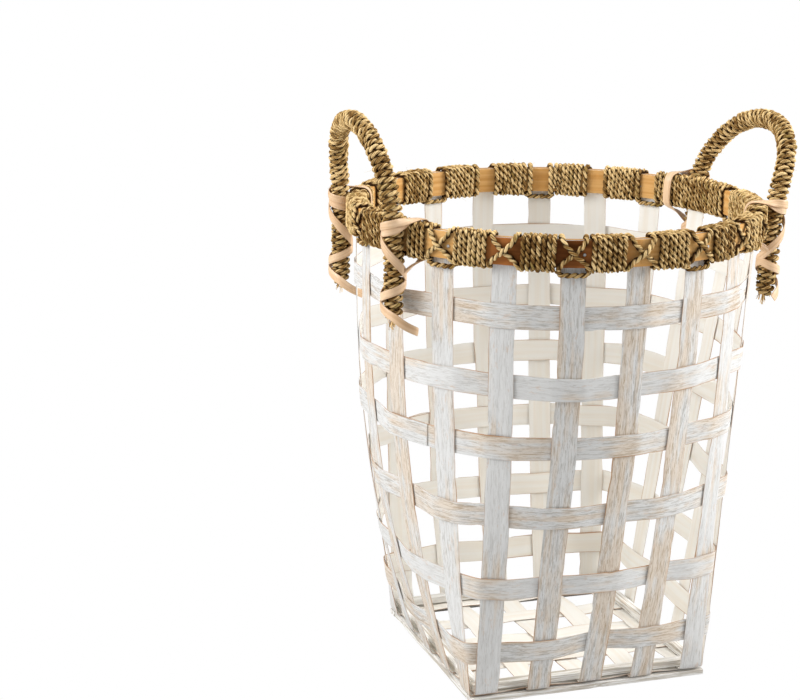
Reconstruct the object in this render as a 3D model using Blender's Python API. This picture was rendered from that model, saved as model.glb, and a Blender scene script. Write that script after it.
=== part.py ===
"""Woven wood-splint basket with a twine-bound round rim, a square base and two fixed loop handles.

Metres, +Z up. The front wall faces -Y and the handles stand at -X and +X. An azimuth is measured from
-Y towards +X. Stakes are numbered round the wall from stake 0 at the middle of the front, so stake 5 is
at +X and stake -5 at -X. Every part is drawn about the rim's axis. At the end the whole basket moves, so
that the origin is on the ground under its middle: the right handle leans out further than the left one.
"""

import math

import bmesh
import bpy
from mathutils import Vector

# Clearance left between pieces that touch on the real basket.
GAP = 0.0003

# Stakes: the upright parts of the splints.
STAKE_COUNT = 20
STAKES_PER_SIDE = STAKE_COUNT // 4
STAKE_STEP = math.tau / STAKE_COUNT
SPLINT_WIDTH = 0.0205
SPLINT_THICK = 0.0013
SPLINT_BEND = 0.0023  # length of each tangent of the bend from base to wall

# Rim, from the outside in: twine, outer hoop, pocket for the stake tops, inner hoop, twine.
RIM_RADIUS = 0.180
RIM_TOP = 0.4115
RIM_TWINE = 0.0036
HOOP_THICK = 0.0042
HOOP_HEIGHT = 0.0220
HOOP_POCKET = 0.0022
HOOP_TOP = RIM_TOP - RIM_TWINE - GAP
HOOP_BOTTOM = HOOP_TOP - HOOP_HEIGHT
HOOP_STEPS = 80
OUTER_HOOP = (RIM_RADIUS - RIM_TWINE - GAP - HOOP_THICK, RIM_RADIUS - RIM_TWINE - GAP)
INNER_HOOP = (OUTER_HOOP[0] - HOOP_POCKET - HOOP_THICK, OUTER_HOOP[0] - HOOP_POCKET)
STAKE_RADIUS = OUTER_HOOP[0] - 2 * GAP - SPLINT_THICK / 2
PATCH_HALF = math.radians(4.3)  # bare hoop on each side of a stake, between two lengths of twine
LEG_HALF = math.radians(4.8)  # room for a handle leg, instead of the patch of the stake beside it

# Base: a mat of splints clamped between four foot slats and four inner slats.
BASE_HALF = 0.1088  # from the axis to the middle of a wall splint
BASE_CORNER = 0.0135
SPLINT_PITCH = (BASE_HALF - BASE_CORNER) / 2
FOOT_SLAT = (0.0120, 0.0055)  # width, height
INNER_SLAT = (0.0100, 0.0070)
MAT_WAVE = (SPLINT_THICK + GAP) / 2
MAT_HALF = MAT_WAVE + SPLINT_THICK / 2
MAT_Z = FOOT_SLAT[1] + GAP + MAT_HALF
FOOT_SLAT_EDGE = BASE_HALF - 0.0005
INNER_SLAT_EDGE = BASE_HALF - 0.0033
INNER_SLAT_Z = MAT_Z + MAT_HALF + GAP

# Wall: each stake flares from the base square to the rim circle. The left wall is fuller than the right.
WALL_TOP = HOOP_BOTTOM - 0.002
BULGE_MEAN = 1.71
BULGE_LEFT = 0.70

# Weavers: flat rings that pass outside one stake and inside the next.
WEAVER_WIDTH = 0.0200
WEAVER_HEIGHTS = (0.048, 0.108, 0.173, 0.234, 0.286, 0.344)
WEAVER_OFFSET = SPLINT_THICK + GAP
HUG = SPLINT_WIDTH / 2 + 0.0015  # a weaver stays flat this far to each side of a stake
ROW_HALF = WEAVER_WIDTH / 2 + 0.0015  # and a stake this far above and below a weaver's middle

# Handles: a rod wound with thick twine, its legs tied outside the rim.
HANDLE_RADIUS = 0.0088
HANDLE_BORE = 0.0052
HANDLE_CORE = 0.0045
LEG_SPREAD = math.radians(23)  # from the middle of the handle to each leg
LEG_RADIUS = OUTER_HOOP[1] + GAP + HANDLE_RADIUS
LEG_BOTTOM = 0.330
ARCH_START = 0.408
ARCH_SQUARENESS = 2.2  # 2 is an ellipse
ARCH_STEPS = 16
HANDLE_SIDES = 8
LEAN_START = 0.395
LEAN_SOFTNESS = 0.040
TUCK_START = HOOP_BOTTOM - 0.004
HANDLES = {  # side, height of the arch's middle line, outward lean above the rim, inward tuck below it
    "left": (-1, 0.4825, 0.21, 0.0),
    "right": (1, 0.4710, 0.66, 0.08),
}

# Cane lashings: a strip from inside the rim, over its top and round a handle leg.
CANE_WIDTH = 0.0070
CANE_THICK = 0.0010
CANE_ON_LEG = HANDLE_RADIUS + 0.0017  # from the leg's middle line to the strip's
CANE_STEP = math.radians(30)

# Fasteners.
BRAD_SHANK = 0.0006
BRAD_HEAD = (0.0014, 0.0006)  # radius, thickness
BRAD_SIDE = math.radians(2.6)
NAIL_AT = 0.1000
FASTENER_SIDES = 8


def azimuth_direction(azimuth):
    return Vector((math.sin(azimuth), -math.cos(azimuth), 0))


def round_axis(point, quarter_turns):
    angle = quarter_turns * math.pi / 2
    cosine, sine = math.cos(angle), math.sin(angle)
    return Vector((point.x * cosine - point.y * sine, point.x * sine + point.y * cosine, point.z))


def base_outline(stake):
    """The point of the base square beside a stake number, which may be a fraction."""
    side = round(stake / STAKES_PER_SIDE)
    along = stake - side * STAKES_PER_SIDE
    turn = max(0.0, abs(along) - 2) * math.pi / 2
    x = math.copysign(min(abs(along), 2) * SPLINT_PITCH + BASE_CORNER * math.sin(turn), along)
    y = -(2 * SPLINT_PITCH + BASE_CORNER * math.cos(turn))
    return round_axis(Vector((x, y, 0)), side)


def wall_point(stake, z):
    """The middle of the wall's thickness beside a stake number, at height z."""
    azimuth = stake * STAKE_STEP
    height = min(max((z - MAT_Z) / (WALL_TOP - MAT_Z), 0), 1)
    flare = 1 - (1 - height) ** (BULGE_MEAN - BULGE_LEFT * math.sin(azimuth))
    point = base_outline(stake).lerp(azimuth_direction(azimuth) * STAKE_RADIUS, flare)
    point.z = z
    return point


def wall_frame(stake, z):
    """Middle, outward normal and sideways direction of the wall beside a stake number."""
    across = (wall_point(stake + 0.01, z) - wall_point(stake - 0.01, z)).normalized()
    low = min(z, WALL_TOP - 0.001)
    up = (wall_point(stake, low + 0.001) - wall_point(stake, low)).normalized()
    if z > WALL_TOP:
        up = Vector((0, 0, 1))
    return wall_point(stake, z), across.cross(up).normalized(), across


def new_object(name, mesh_builder, material):
    mesh = bpy.data.meshes.new(name)
    bmesh.ops.recalc_face_normals(mesh_builder, faces=mesh_builder.faces)
    mesh_builder.to_mesh(mesh)
    mesh_builder.free()
    item = bpy.data.objects.new(name, mesh)
    bpy.context.scene.collection.objects.link(item)
    if material:
        mesh.materials.append(material)
    return item


def make_helper(item):
    item.hide_render = True
    item.display_type = "WIRE"
    return item


def add_loft(builder, sections, closed=False):
    """Skins loops of equal length. An open loft gets an end cap at each end."""
    rings = [[builder.verts.new(point) for point in section] for section in sections]
    following = rings[1:] + (rings[:1] if closed else [])
    for ring, other in zip(rings, following):
        for i in range(len(ring)):
            j = (i + 1) % len(ring)
            builder.faces.new((ring[i], ring[j], other[j], other[i]))
    if not closed:
        builder.faces.new(rings[0][::-1])
        builder.faces.new(rings[-1])


def add_pipe(builder, outer, inner):
    """A thick pipe, open at both ends, from its outer and inner loops."""
    walls = [
        [[builder.verts.new(point) for point in section] for section in sections]
        for sections in (outer, inner)
    ]
    for rings, flip in zip(walls, (1, -1)):
        for ring, other in zip(rings, rings[1:]):
            for i in range(len(ring)):
                j = (i + 1) % len(ring)
                builder.faces.new((ring[i], ring[j], other[j], other[i])[::flip])
    for end, flip in ((0, -1), (-1, 1)):
        outside, inside = walls[0][end], walls[1][end]
        for i in range(len(outside)):
            j = (i + 1) % len(outside)
            builder.faces.new((outside[i], outside[j], inside[j], inside[i])[::flip])


def directions_along(points, closed=False):
    count = len(points)
    directions = []
    for i in range(count):
        before = points[i - 1] if closed or i > 0 else points[i]
        after = points[(i + 1) % count] if closed or i < count - 1 else points[i]
        directions.append((after - before).normalized())
    return directions


def add_ribbon(builder, points, normals, width, thick, closed=False):
    sections = []
    for point, normal, along in zip(points, normals, directions_along(points, closed)):
        across = normal.cross(along).normalized() * width / 2
        through = along.cross(across).normalized() * thick / 2
        near, far = point - through, point + through
        sections.append([near - across, near + across, far + across, far - across])
    add_loft(builder, sections, closed)


def pin_loop(centre, direction, radius):
    """A circle of points round a fastener's axis."""
    side = direction.orthogonal().normalized()
    other = direction.cross(side)
    angles = [i * math.tau / FASTENER_SIDES for i in range(FASTENER_SIDES)]
    return [centre + side * radius * math.cos(a) + other * radius * math.sin(a) for a in angles]


def add_pin(builder, start, end, radius):
    direction = (end - start).normalized()
    add_loft(builder, [pin_loop(start, direction, radius), pin_loop(end, direction, radius)])


def make_fastener(name, seat, direction, length, material):
    """A headed pin. seat is the point under its head, and direction is the way it is driven."""
    head_radius, head_thick = BRAD_HEAD
    steps = (
        (-head_thick, head_radius * 0.7),
        (-head_thick / 2, head_radius),
        (0, head_radius),
        (0, BRAD_SHANK),
        (length, BRAD_SHANK),
    )
    builder = bmesh.new()
    add_loft(builder, [pin_loop(seat + direction * depth, direction, radius) for depth, radius in steps])
    return new_object(name, builder, material)


def cut(item, cutter):
    boolean = item.modifiers.new("clearance", "BOOLEAN")
    boolean.operation = "DIFFERENCE"
    boolean.solver = "EXACT"
    boolean.object = cutter


def make_material(name, colour, roughness, metallic=0.0):
    material = bpy.data.materials.new(name)
    material.use_nodes = True
    shader = material.node_tree.nodes["Principled BSDF"]
    shader.inputs["Base Color"].default_value = (*colour, 1)
    shader.inputs["Roughness"].default_value = roughness
    shader.inputs["Metallic"].default_value = metallic
    return material


def base_wave(this, other):
    """Height of splint number this above the mat's middle where it crosses splint number other."""
    return MAT_WAVE if (this + other) % 2 == 0 else -MAT_WAVE


def stake_path(stake, wave):
    """(point, sideways direction) pairs up one wall, from the height of the splint's last crossing.

    The splint bends up from the base, and is flat where each weaver passes it.
    """
    foot = base_outline(stake)
    _, outward, sideways = wall_frame(stake, MAT_Z)
    outward.z = 0
    corner = Vector((foot.x, foot.y, MAT_Z + wave))
    start = corner - outward.normalized() * SPLINT_BEND
    end = wall_point(stake, MAT_Z + wave + SPLINT_BEND)
    path = [(start.lerp(corner, t).lerp(corner.lerp(end, t), t), sideways) for t in (0, 1 / 3, 2 / 3, 1)]
    for row in WEAVER_HEIGHTS:
        middle, normal, across = wall_frame(stake, row)
        up = normal.cross(across)
        path += [(middle - up * ROW_HALF, across), (middle + up * ROW_HALF, across)]
    for z in (WALL_TOP, HOOP_TOP - 0.0005):
        middle, _, across = wall_frame(stake, z)
        path.append((middle, across))
    return path


def make_splint(name, number, turned, material):
    """One splint: up a wall, under the basket and up the opposite wall. number runs from -2 to 2."""
    quarter = 1 if turned else 0
    first = number + quarter * STAKES_PER_SIDE
    last = 2 * STAKES_PER_SIDE - number + quarter * STAKES_PER_SIDE
    sign = -1 if turned else 1
    sideways = round_axis(Vector((1, 0, 0)), quarter)
    floor = []
    for crossing in range(-2, 3):
        z = MAT_Z + sign * base_wave(number, crossing)
        for side in (-HUG, HUG):
            point = round_axis(Vector((number * SPLINT_PITCH, crossing * SPLINT_PITCH + side, z)), quarter)
            floor.append((point, sideways))
    end_wave = sign * base_wave(number, 2)
    far_wall = [(point, -across) for point, across in stake_path(last, end_wave)]
    path = stake_path(first, end_wave)[::-1] + floor[1:-1] + far_wall
    points = [point for point, _ in path]
    normals = [along.cross(across) for along, (_, across) in zip(directions_along(points), path)]
    builder = bmesh.new()
    add_ribbon(builder, points, normals, SPLINT_WIDTH, SPLINT_THICK)
    return new_object(name, builder, material)


def make_weaver(row, material):
    """One ring, flat where it passes each stake. Odd rows pass outside the odd stakes."""
    points, normals = [], []
    for stake in range(STAKE_COUNT):
        middle, normal, across = wall_frame(stake, WEAVER_HEIGHTS[row - 1])
        offset = WEAVER_OFFSET if (stake + row) % 2 == 0 else -WEAVER_OFFSET
        for side in (-HUG, HUG):
            points.append(middle + normal * offset + across * side)
            normals.append(normal)
    builder = bmesh.new()
    add_ribbon(builder, points, normals, WEAVER_WIDTH, SPLINT_THICK, closed=True)
    return new_object(f"weaver_row_{row}", builder, material)


def rim_sections(profile, azimuths):
    """The profile, as (radius, height) pairs, placed at each azimuth."""
    return [[azimuth_direction(a) * r + Vector((0, 0, z)) for r, z in profile] for a in azimuths]


def make_hoop(name, radii, material):
    corners = [(radii[0], HOOP_BOTTOM), (radii[1], HOOP_BOTTOM), (radii[1], HOOP_TOP), (radii[0], HOOP_TOP)]
    builder = bmesh.new()
    azimuths = [i * math.tau / HOOP_STEPS for i in range(HOOP_STEPS)]
    add_loft(builder, rim_sections(corners, azimuths), closed=True)
    return new_object(name, builder, material)


def make_slats(name, edge, width, height, bottom, material):
    """Four slats along the sides of a square: the front and back ones run past the ends of the others."""
    slats = {}
    for side, quarter in (("front", 0), ("right", 1), ("back", 2), ("left", 3)):
        half_length = edge if quarter % 2 == 0 else edge - width - GAP
        builder = bmesh.new()
        bmesh.ops.create_cube(builder, size=1)
        for vertex in builder.verts:
            x = vertex.co.x * 2 * half_length
            y = vertex.co.y * width - (edge - width / 2)
            z = (vertex.co.z + 0.5) * height + bottom
            vertex.co = round_axis(Vector((x, y, z)), quarter)
        slats[side] = new_object(f"{name}_{side}", builder, material)
        bevel = slats[side].modifiers.new("worn_edges", "BEVEL")
        bevel.width = 0.0006
        bevel.segments = 1
    return slats


def patch_of(stake):
    """First and last azimuth of the bare hoop at a stake, or at the handle leg beside it."""
    middle = stake * STAKE_STEP
    for handle_middle in (math.pi / 2, 3 * math.pi / 2, -math.pi / 2):
        for leg in (handle_middle - LEG_SPREAD, handle_middle + LEG_SPREAD):
            if abs(leg - middle) < STAKE_STEP / 2:
                return leg - LEG_HALF, leg + LEG_HALF
    return middle - PATCH_HALF, middle + PATCH_HALF


def rim_profile(margin):
    """The loop, in radius and height, that clears both hoops by margin."""
    inner, outer = INNER_HOOP[0] - margin, OUTER_HOOP[1] + margin
    low, high = HOOP_BOTTOM - margin, HOOP_TOP + margin
    return [(inner, low), (outer, low), (outer, high), (inner, high)]


def add_slot(builder, stake):
    """Room for a stake that comes up through the underside of the twine."""
    middle, normal, across = wall_frame(stake, HOOP_BOTTOM)
    sideways = across * (SPLINT_WIDTH / 2 + 2 * GAP)
    through = normal * (SPLINT_THICK / 2 + 2 * GAP)
    sections = []
    for height in (-2 * RIM_TWINE, RIM_TWINE):
        centre = middle + Vector((0, 0, height))
        near, far = centre - through, centre + through
        sections.append([near - sideways, near + sideways, far + sideways, far - sideways])
    add_loft(builder, sections)


def make_rim_twine(name, first, last, material):
    """One length of twine: a sleeve between each two stakes, joined by crossed strands over the stakes.

    The sleeve at each end runs over a stake to the handle leg beside it.
    """
    sleeves = bmesh.new()
    for stake in range(first, last):
        start, end = patch_of(stake)[1], patch_of(stake + 1)[0]
        azimuths = [start + (end - start) * i / 3 for i in range(4)]
        outside, inside = (rim_sections(rim_profile(margin), azimuths) for margin in (GAP + RIM_TWINE, GAP))
        add_pipe(sleeves, outside, inside)
    item = new_object(name, sleeves, material)

    strands = bmesh.new()
    reach = PATCH_HALF + math.radians(1.2)
    radii = (OUTER_HOOP[1] + GAP + 0.0002, OUTER_HOOP[1] + GAP + RIM_TWINE - 0.0002)
    for stake in range(first + 1, last):
        middle = stake * STAKE_STEP
        for rising in (-1, 1):
            sections = []
            for side in (-1, -0.33, 0.33, 1):
                outward = azimuth_direction(middle + side * reach)
                z = (HOOP_BOTTOM + HOOP_TOP) / 2 + rising * side * (HOOP_HEIGHT / 2 - 0.003)
                sections.append(
                    [
                        outward * radii[0] + Vector((0, 0, z - 0.0012)),
                        outward * radii[1] + Vector((0, 0, z - 0.0012)),
                        outward * radii[1] + Vector((0, 0, z + 0.0012)),
                        outward * radii[0] + Vector((0, 0, z + 0.0012)),
                    ]
                )
            add_loft(strands, sections)
        if stake % 2:
            low, high = HOOP_BOTTOM - 0.0042, HOOP_BOTTOM - 0.0008
            for inner in (OUTER_HOOP[0] + 0.0001, INNER_HOOP[1] - 0.0026):
                outer = inner + 0.0025
                profile = [(inner, low), (outer, low), (outer, high), (inner, high)]
                azimuths = [middle + side * reach for side in (-1, -0.33, 0.33, 1)]
                add_loft(strands, rim_sections(profile, azimuths))
    helper = make_helper(new_object(f"{name}_strands", strands, None))
    union = item.modifiers.new("strands", "BOOLEAN")
    union.operation = "UNION"
    union.solver = "EXACT"
    union.use_self = True
    union.object = helper
    slots = bmesh.new()
    for stake in (first, last):
        add_slot(slots, stake)
    cut(item, make_helper(new_object(f"{name}_slots", slots, None)))
    return item


def lean_offset(z, lean, tuck):
    """How far outwards a handle's middle line stands at height z from where it passes the rim."""
    rise = max(z - LEAN_START, 0)
    return lean * (math.hypot(rise, LEAN_SOFTNESS) - LEAN_SOFTNESS) - tuck * max(TUCK_START - z, 0)


def handle_path(side, top, lean, tuck):
    """The handle's middle line, from the foot of the front leg over the arch to the foot of the back leg."""
    half_span = LEG_RADIUS * math.sin(LEG_SPREAD)
    outward = LEG_RADIUS * math.cos(LEG_SPREAD)
    outline = [(-half_span, LEG_BOTTOM + (ARCH_START - LEG_BOTTOM) * i / 5) for i in range(5)]
    for i in range(ARCH_STEPS + 1):
        angle = math.pi * i / ARCH_STEPS
        y = -math.copysign(abs(math.cos(angle)) ** (2 / ARCH_SQUARENESS), math.cos(angle)) * half_span
        z = ARCH_START + (top - ARCH_START) * math.sin(angle) ** (2 / ARCH_SQUARENESS)
        outline.append((y, z))
    outline += [(half_span, z) for _, z in outline[4::-1]]
    return [Vector((side * (outward + lean_offset(z, lean, tuck)), y, z)) for y, z in outline]


def round_sections(points, radius):
    sections = []
    for point, along in zip(points, directions_along(points)):
        across = along.cross(Vector((1, 0, 0))).normalized()
        other = across.cross(along)
        angles = [math.tau * i / HANDLE_SIDES for i in range(HANDLE_SIDES)]
        sections.append([point + (across * math.cos(a) + other * math.sin(a)) * radius for a in angles])
    return sections


def make_handle(name, path, twine, wood):
    core = bmesh.new()
    add_loft(core, round_sections(path, HANDLE_CORE))
    new_object(f"{name}_handle_core", core, wood)
    winding = bmesh.new()
    add_pipe(winding, round_sections(path, HANDLE_RADIUS), round_sections(path, HANDLE_BORE))
    item = new_object(f"{name}_handle_winding", winding, twine)
    item.data.shade_smooth()
    item.data.set_sharp_from_angle(angle=math.radians(50))
    return item


def make_lashing(name, side, end, lean, tuck, material):
    """A cane strip from inside the rim, over its top, then round the leg down to its foot.

    end is -1 for the leg nearer the front and 1 for the one nearer the back.
    """
    azimuth = side * (math.pi / 2 + end * LEG_SPREAD)
    outward = azimuth_direction(azimuth)
    away = azimuth_direction(azimuth + side * end * math.pi / 2)
    foot = outward * LEG_RADIUS
    seat = GAP + CANE_THICK / 2
    strap_side = 0.0125
    curve = 0.0018  # the flat strip stands off the curved inside of the rim
    inside = INNER_HOOP[0] - GAP - RIM_TWINE - seat - curve - LEG_RADIUS
    over = RIM_TOP + seat + 0.0006

    def beside(u, v, z):
        return foot + away * u + outward * v + Vector((0, 0, z))

    points = [
        beside(strap_side, inside, RIM_TOP - 0.026),
        beside(strap_side, inside, RIM_TOP - 0.014),
        beside(strap_side, inside, RIM_TOP - 0.003),
        beside(0.0120, inside + 0.0008, over),
        beside(0.0115, -0.016, over),
        beside(0.0108, -0.008, over),
    ]
    up = Vector((0, 0, 1))
    normals = [-outward, -outward, -outward, (up - outward).normalized(), up, up]
    steps = 22
    for i in range(steps + 1):
        turn = math.radians(75) - i * CANE_STEP
        share = i / steps
        z = HOOP_TOP - 0.003 - (HOOP_TOP - 0.003 - LEG_BOTTOM - 0.006) * share ** 0.9
        if i < 6:
            z = HOOP_TOP - 0.003 - 0.0017 * i
        leaned = Vector((side * lean_offset(z + CANE_WIDTH / 2, lean, tuck), 0, 0))
        direction = away * math.sin(turn) + outward * math.cos(turn)
        points.append(foot + leaned + direction * CANE_ON_LEG + Vector((0, 0, z)))
        normals.append(direction)
    builder = bmesh.new()
    add_ribbon(builder, points, normals, CANE_WIDTH, CANE_THICK)
    return new_object(name, builder, material)


def brad_place(stake):
    azimuth = stake * STAKE_STEP + BRAD_SIDE
    outward = azimuth_direction(azimuth)
    return outward * (OUTER_HOOP[1] + GAP) + Vector((0, 0, (HOOP_BOTTOM + HOOP_TOP) / 2)), -outward


def make_clearance(name, places):
    """One hidden cutter that holds a clearance pin for each fastener."""
    builder = bmesh.new()
    for seat, direction, length in places:
        add_pin(builder, seat - direction * 0.004, seat + direction * length, BRAD_SHANK + GAP)
    return make_helper(new_object(name, builder, None))


def centre_between(windings):
    """Hangs every part on one empty, placed so that the two handles reach equally far from the origin."""
    reach = [vertex.co.x for winding in windings for vertex in winding.data.vertices]
    parts = list(bpy.data.objects)
    basket = bpy.data.objects.new("basket", None)
    basket.location.x = -(min(reach) + max(reach)) / 2
    bpy.context.scene.collection.objects.link(basket)
    for part in parts:
        part.parent = basket


def main():
    for item in list(bpy.data.objects):
        bpy.data.objects.remove(item)

    whitewash = make_material("whitewashed_splint", (0.80, 0.78, 0.75), 0.75)
    slat_wood = make_material("whitewashed_slat", (0.76, 0.74, 0.69), 0.75)
    hoop_wood = make_material("bare_wood", (0.50, 0.28, 0.13), 0.60)
    seagrass = make_material("seagrass_twine", (0.42, 0.33, 0.17), 0.85)
    cane = make_material("cane", (0.76, 0.55, 0.36), 0.55)
    steel = make_material("steel", (0.55, 0.54, 0.52), 0.35, 1.0)

    splints = {}
    for number in range(-2, 3):
        name = f"splint_front_to_back_{number + 3}"
        splints[number] = make_splint(name, number, False, whitewash)
        name = f"splint_side_to_side_{number + 3}"
        splints[number + STAKES_PER_SIDE] = make_splint(name, number, True, whitewash)
    for row in range(1, len(WEAVER_HEIGHTS) + 1):
        make_weaver(row, whitewash)
    outer_hoop = make_hoop("outer_rim_hoop", OUTER_HOOP, hoop_wood)
    inner_hoop = make_hoop("inner_rim_hoop", INNER_HOOP, hoop_wood)
    foot_slats = make_slats("foot_slat", FOOT_SLAT_EDGE, *FOOT_SLAT, 0, slat_wood)
    inner_slats = make_slats("inner_slat", INNER_SLAT_EDGE, *INNER_SLAT, INNER_SLAT_Z, slat_wood)

    for name, first, last in (("front", -4, 4), ("right", 4, 6), ("back", 6, 14), ("left", 14, 16)):
        make_rim_twine(f"rim_twine_{name}", first, last, seagrass)
    windings = []
    for name, (side, top, lean, tuck) in HANDLES.items():
        windings.append(make_handle(name, handle_path(side, top, lean, tuck), seagrass, hoop_wood))
        for place, end in (("front", -1), ("back", 1)):
            make_lashing(f"{name}_{place}_lashing", side, end, lean, tuck, cane)

    brad_length = OUTER_HOOP[1] - INNER_HOOP[0] + GAP + 0.0006
    brads = [(*brad_place(stake), brad_length) for stake in range(1, STAKE_COUNT, 2)]
    brad_holes = [(seat, way, length + 0.004) for seat, way, length in brads]
    brad_clearance = make_clearance("brad_clearance", brad_holes)
    for item in [outer_hoop, inner_hoop] + [splints[number] for number in (-1, 1, 3, 5, 7)]:
        cut(item, brad_clearance)
    for i, (seat, way, length) in enumerate(brads):
        make_fastener(f"rim_brad_{i + 1}", seat, way, length, steel)

    nail_top = INNER_SLAT_Z + INNER_SLAT[1] + GAP
    down = Vector((0, 0, -1))
    corners = [Vector((x * NAIL_AT, y * NAIL_AT, nail_top)) for x in (-1, 1) for y in (-1, 1)]
    nails = [(corner, down, nail_top - 0.0025) for corner in corners]
    nail_holes = [(seat, way, length + GAP) for seat, way, length in nails]
    nail_clearance = make_clearance("nail_clearance", nail_holes)
    clamped = [splints[number] for number in (-2, 2, 3, 7)]
    for item in [slats[side] for slats in (foot_slats, inner_slats) for side in ("front", "back")] + clamped:
        cut(item, nail_clearance)
    for i, (seat, way, length) in enumerate(nails):
        make_fastener(f"base_nail_{i + 1}", seat, way, length, steel)
    centre_between(windings)


main()
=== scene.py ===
"""Looks for the woven splint basket: worn whitewashed splints, two-ply seagrass twine and cane lashings.

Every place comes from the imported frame. Metres, +Z up, and the front wall faces -Y. Shapes are worked out
about the axis of the rim and moved to the frame's origin when a piece is made. Azimuths run from -Y
towards +X, and stakes are numbered round the wall from stake 0 at the middle of the front. A path is an
array with one row for each step along it: three columns for a point, and three for a direction.
"""

import math

import bpy
import numpy as np
from mathutils import Matrix, Vector


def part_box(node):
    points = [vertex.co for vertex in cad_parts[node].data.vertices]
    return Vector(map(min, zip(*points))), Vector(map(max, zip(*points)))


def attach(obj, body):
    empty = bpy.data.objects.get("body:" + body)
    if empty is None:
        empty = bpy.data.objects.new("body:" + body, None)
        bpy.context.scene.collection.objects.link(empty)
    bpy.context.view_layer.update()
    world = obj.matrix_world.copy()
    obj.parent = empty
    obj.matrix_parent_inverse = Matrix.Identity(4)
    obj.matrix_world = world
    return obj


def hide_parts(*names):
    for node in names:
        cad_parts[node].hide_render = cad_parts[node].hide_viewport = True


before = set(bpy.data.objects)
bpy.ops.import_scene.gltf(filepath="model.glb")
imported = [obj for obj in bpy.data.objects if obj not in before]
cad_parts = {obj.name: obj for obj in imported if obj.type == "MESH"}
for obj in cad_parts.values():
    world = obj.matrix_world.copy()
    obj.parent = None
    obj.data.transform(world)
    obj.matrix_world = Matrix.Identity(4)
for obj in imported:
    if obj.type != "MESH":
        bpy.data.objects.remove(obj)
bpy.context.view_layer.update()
hoop_low, hoop_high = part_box("outer_rim_hoop")
AXIS = np.array(((hoop_low.x + hoop_high.x) / 2, (hoop_low.y + hoop_high.y) / 2, 0.0))
AIM = Vector(AXIS) + Vector((0, 0, 0.2))

STAKES = 20
STAKE_STEP = math.tau / STAKES
ROWS = 6
UP = np.array((0.0, 0.0, 1.0))

# Splints.
STRIP_STEP = 0.0025  # between two rings of a strip
STRIP_POINTS = 17  # across each face of a strip
SPLINT_WIDTH = 0.0205
SPLINT_THICK = 0.0011
WEAVER_WIDTH = 0.0198
WEAVE = 0.0016  # from the middle of a stake's thickness to the middle of a weaver's
HUG = 0.0118  # a weaver stays flat this far to each side of a stake
LAPS = (9, 10, -9, -4, 9, 8)  # the stake where each row's two ends lie one over the other
LAP_TRIMS = (0.006, 0.030)  # cut from the start and the end of a weaver's path
NICKS = 9  # in each metre of an edge
SECTION_GAP = 0.003  # the least distance between two cross-sections of a CAD strip

# Hoops.
STAIN_MIDDLE = -24  # azimuth of the dark stretch of the outer hoop, in degrees
STAIN_REACH = 19  # degrees to each side of it

# Twine: two plies twisted into an S.
PLY_RADIUS = 0.00120
PLY_OFFSET = 0.00092  # from the middle of the twine to the middle of a ply
TWINE_HALF = PLY_RADIUS + PLY_OFFSET
TWINE_STAND = TWINE_HALF - 0.0002  # from the hoops to the middle of the twine, which beds in a little
TWINE_LAY = 0.0106  # along one full twist
TWINE_STEP = 0.0013  # between two rings of a ply
TWINE_SIDES = 6
PATCH_HALF = math.radians(4.4)  # half of the bare hoop at a stake
LEG_HALF = math.radians(2.6)  # half of the bare hoop behind a handle leg
RIM_PITCH = 0.0042  # between two turns on the rim
RIM_TURN = 0.078  # of twine in one turn round the rim
CROSS_TWINE = 1.12  # times as thick as the twine of the sleeves
LOOP_TWINE = 1.1
HANDLE_TWINE = 1.25
HANDLE_PITCH = 0.0053
FIBRE_SIDES = 4

# Handle cores.
CORE_RADIUS = 0.0044
CORE_SIDES = 12
CORE_STEP = 0.004
CORE_CORNERS = 8  # round each whole cross-section of a CAD core
ARCH_MIDDLE = 0.07  # above the feet: a core's cross-sections are sorted by their angle round this point
LEG_SECTIONS = 5  # of the core from the foot of a leg to just above the rim
LEG_ROWS = 80  # of a handle's line, one for each millimetre

# Cane.
CANE_WIDTH = 0.0068
CANE_THICK = 0.0009
CANE_STEP = 0.0012
CANE_REACH = 0.0098  # from the middle of a leg to the middle of the cane round it
CANE_END = {"left": 880, "right": 830}  # degrees round a leg where the loose tail ends
ZIGZAG = (  # degrees round a leg, and height from the bottom of the hoops: down, up, and down to the tail
    (-60, 0.017), (0, 0.012), (180, -0.021), (360, -0.037), (540, -0.024), (720, -0.043),
    (810, -0.050), (850, -0.059), (880, -0.064),
)

# Setting.
WORLD_LIGHT = 0.44
LAMPS = (  # name, place from the point aimed at, size and power
    ("left", (-2.3, 0.2, 1.1), 1.4, 54),
    ("right", (2.2, -0.8, 1.1), 1.4, 74),
    ("top", (0.1, 0.5, 2.4), 1.8, 30),
)


# Reading the frame.


def unit(vectors):
    return vectors / np.linalg.norm(vectors, axis=-1, keepdims=True)


def corners(node):
    """The distinct corner points of a CAD node, from the rim's axis."""
    points = np.array([vertex.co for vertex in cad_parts[node].data.vertices])
    return np.unique(points.round(5), axis=0) - AXIS


def box(node):
    """The two far corners of a CAD node's box, from the rim's axis."""
    return np.array([corner[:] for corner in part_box(node)]) - AXIS


def sections(points, order, sideways):
    """A CAD strip's whole cross-sections, in the given order: rows of middle point and sideways direction."""
    ranked = np.argsort(order)
    points, order = points[ranked], order[ranked]
    rows = []
    for group in np.split(points, np.flatnonzero(np.diff(order) > SECTION_GAP) + 1):
        spread = group - group.mean(0)
        if np.linalg.norm(spread, axis=1).max() > SPLINT_WIDTH * 0.4:
            across = np.linalg.svd(spread)[2][0]
            rows.append(np.concatenate([group.mean(0), across * math.copysign(1, across @ sideways)]))
    return np.array(rows)


def middle_height(node):
    return box(node)[:, 2].mean()


# Paths.


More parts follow.
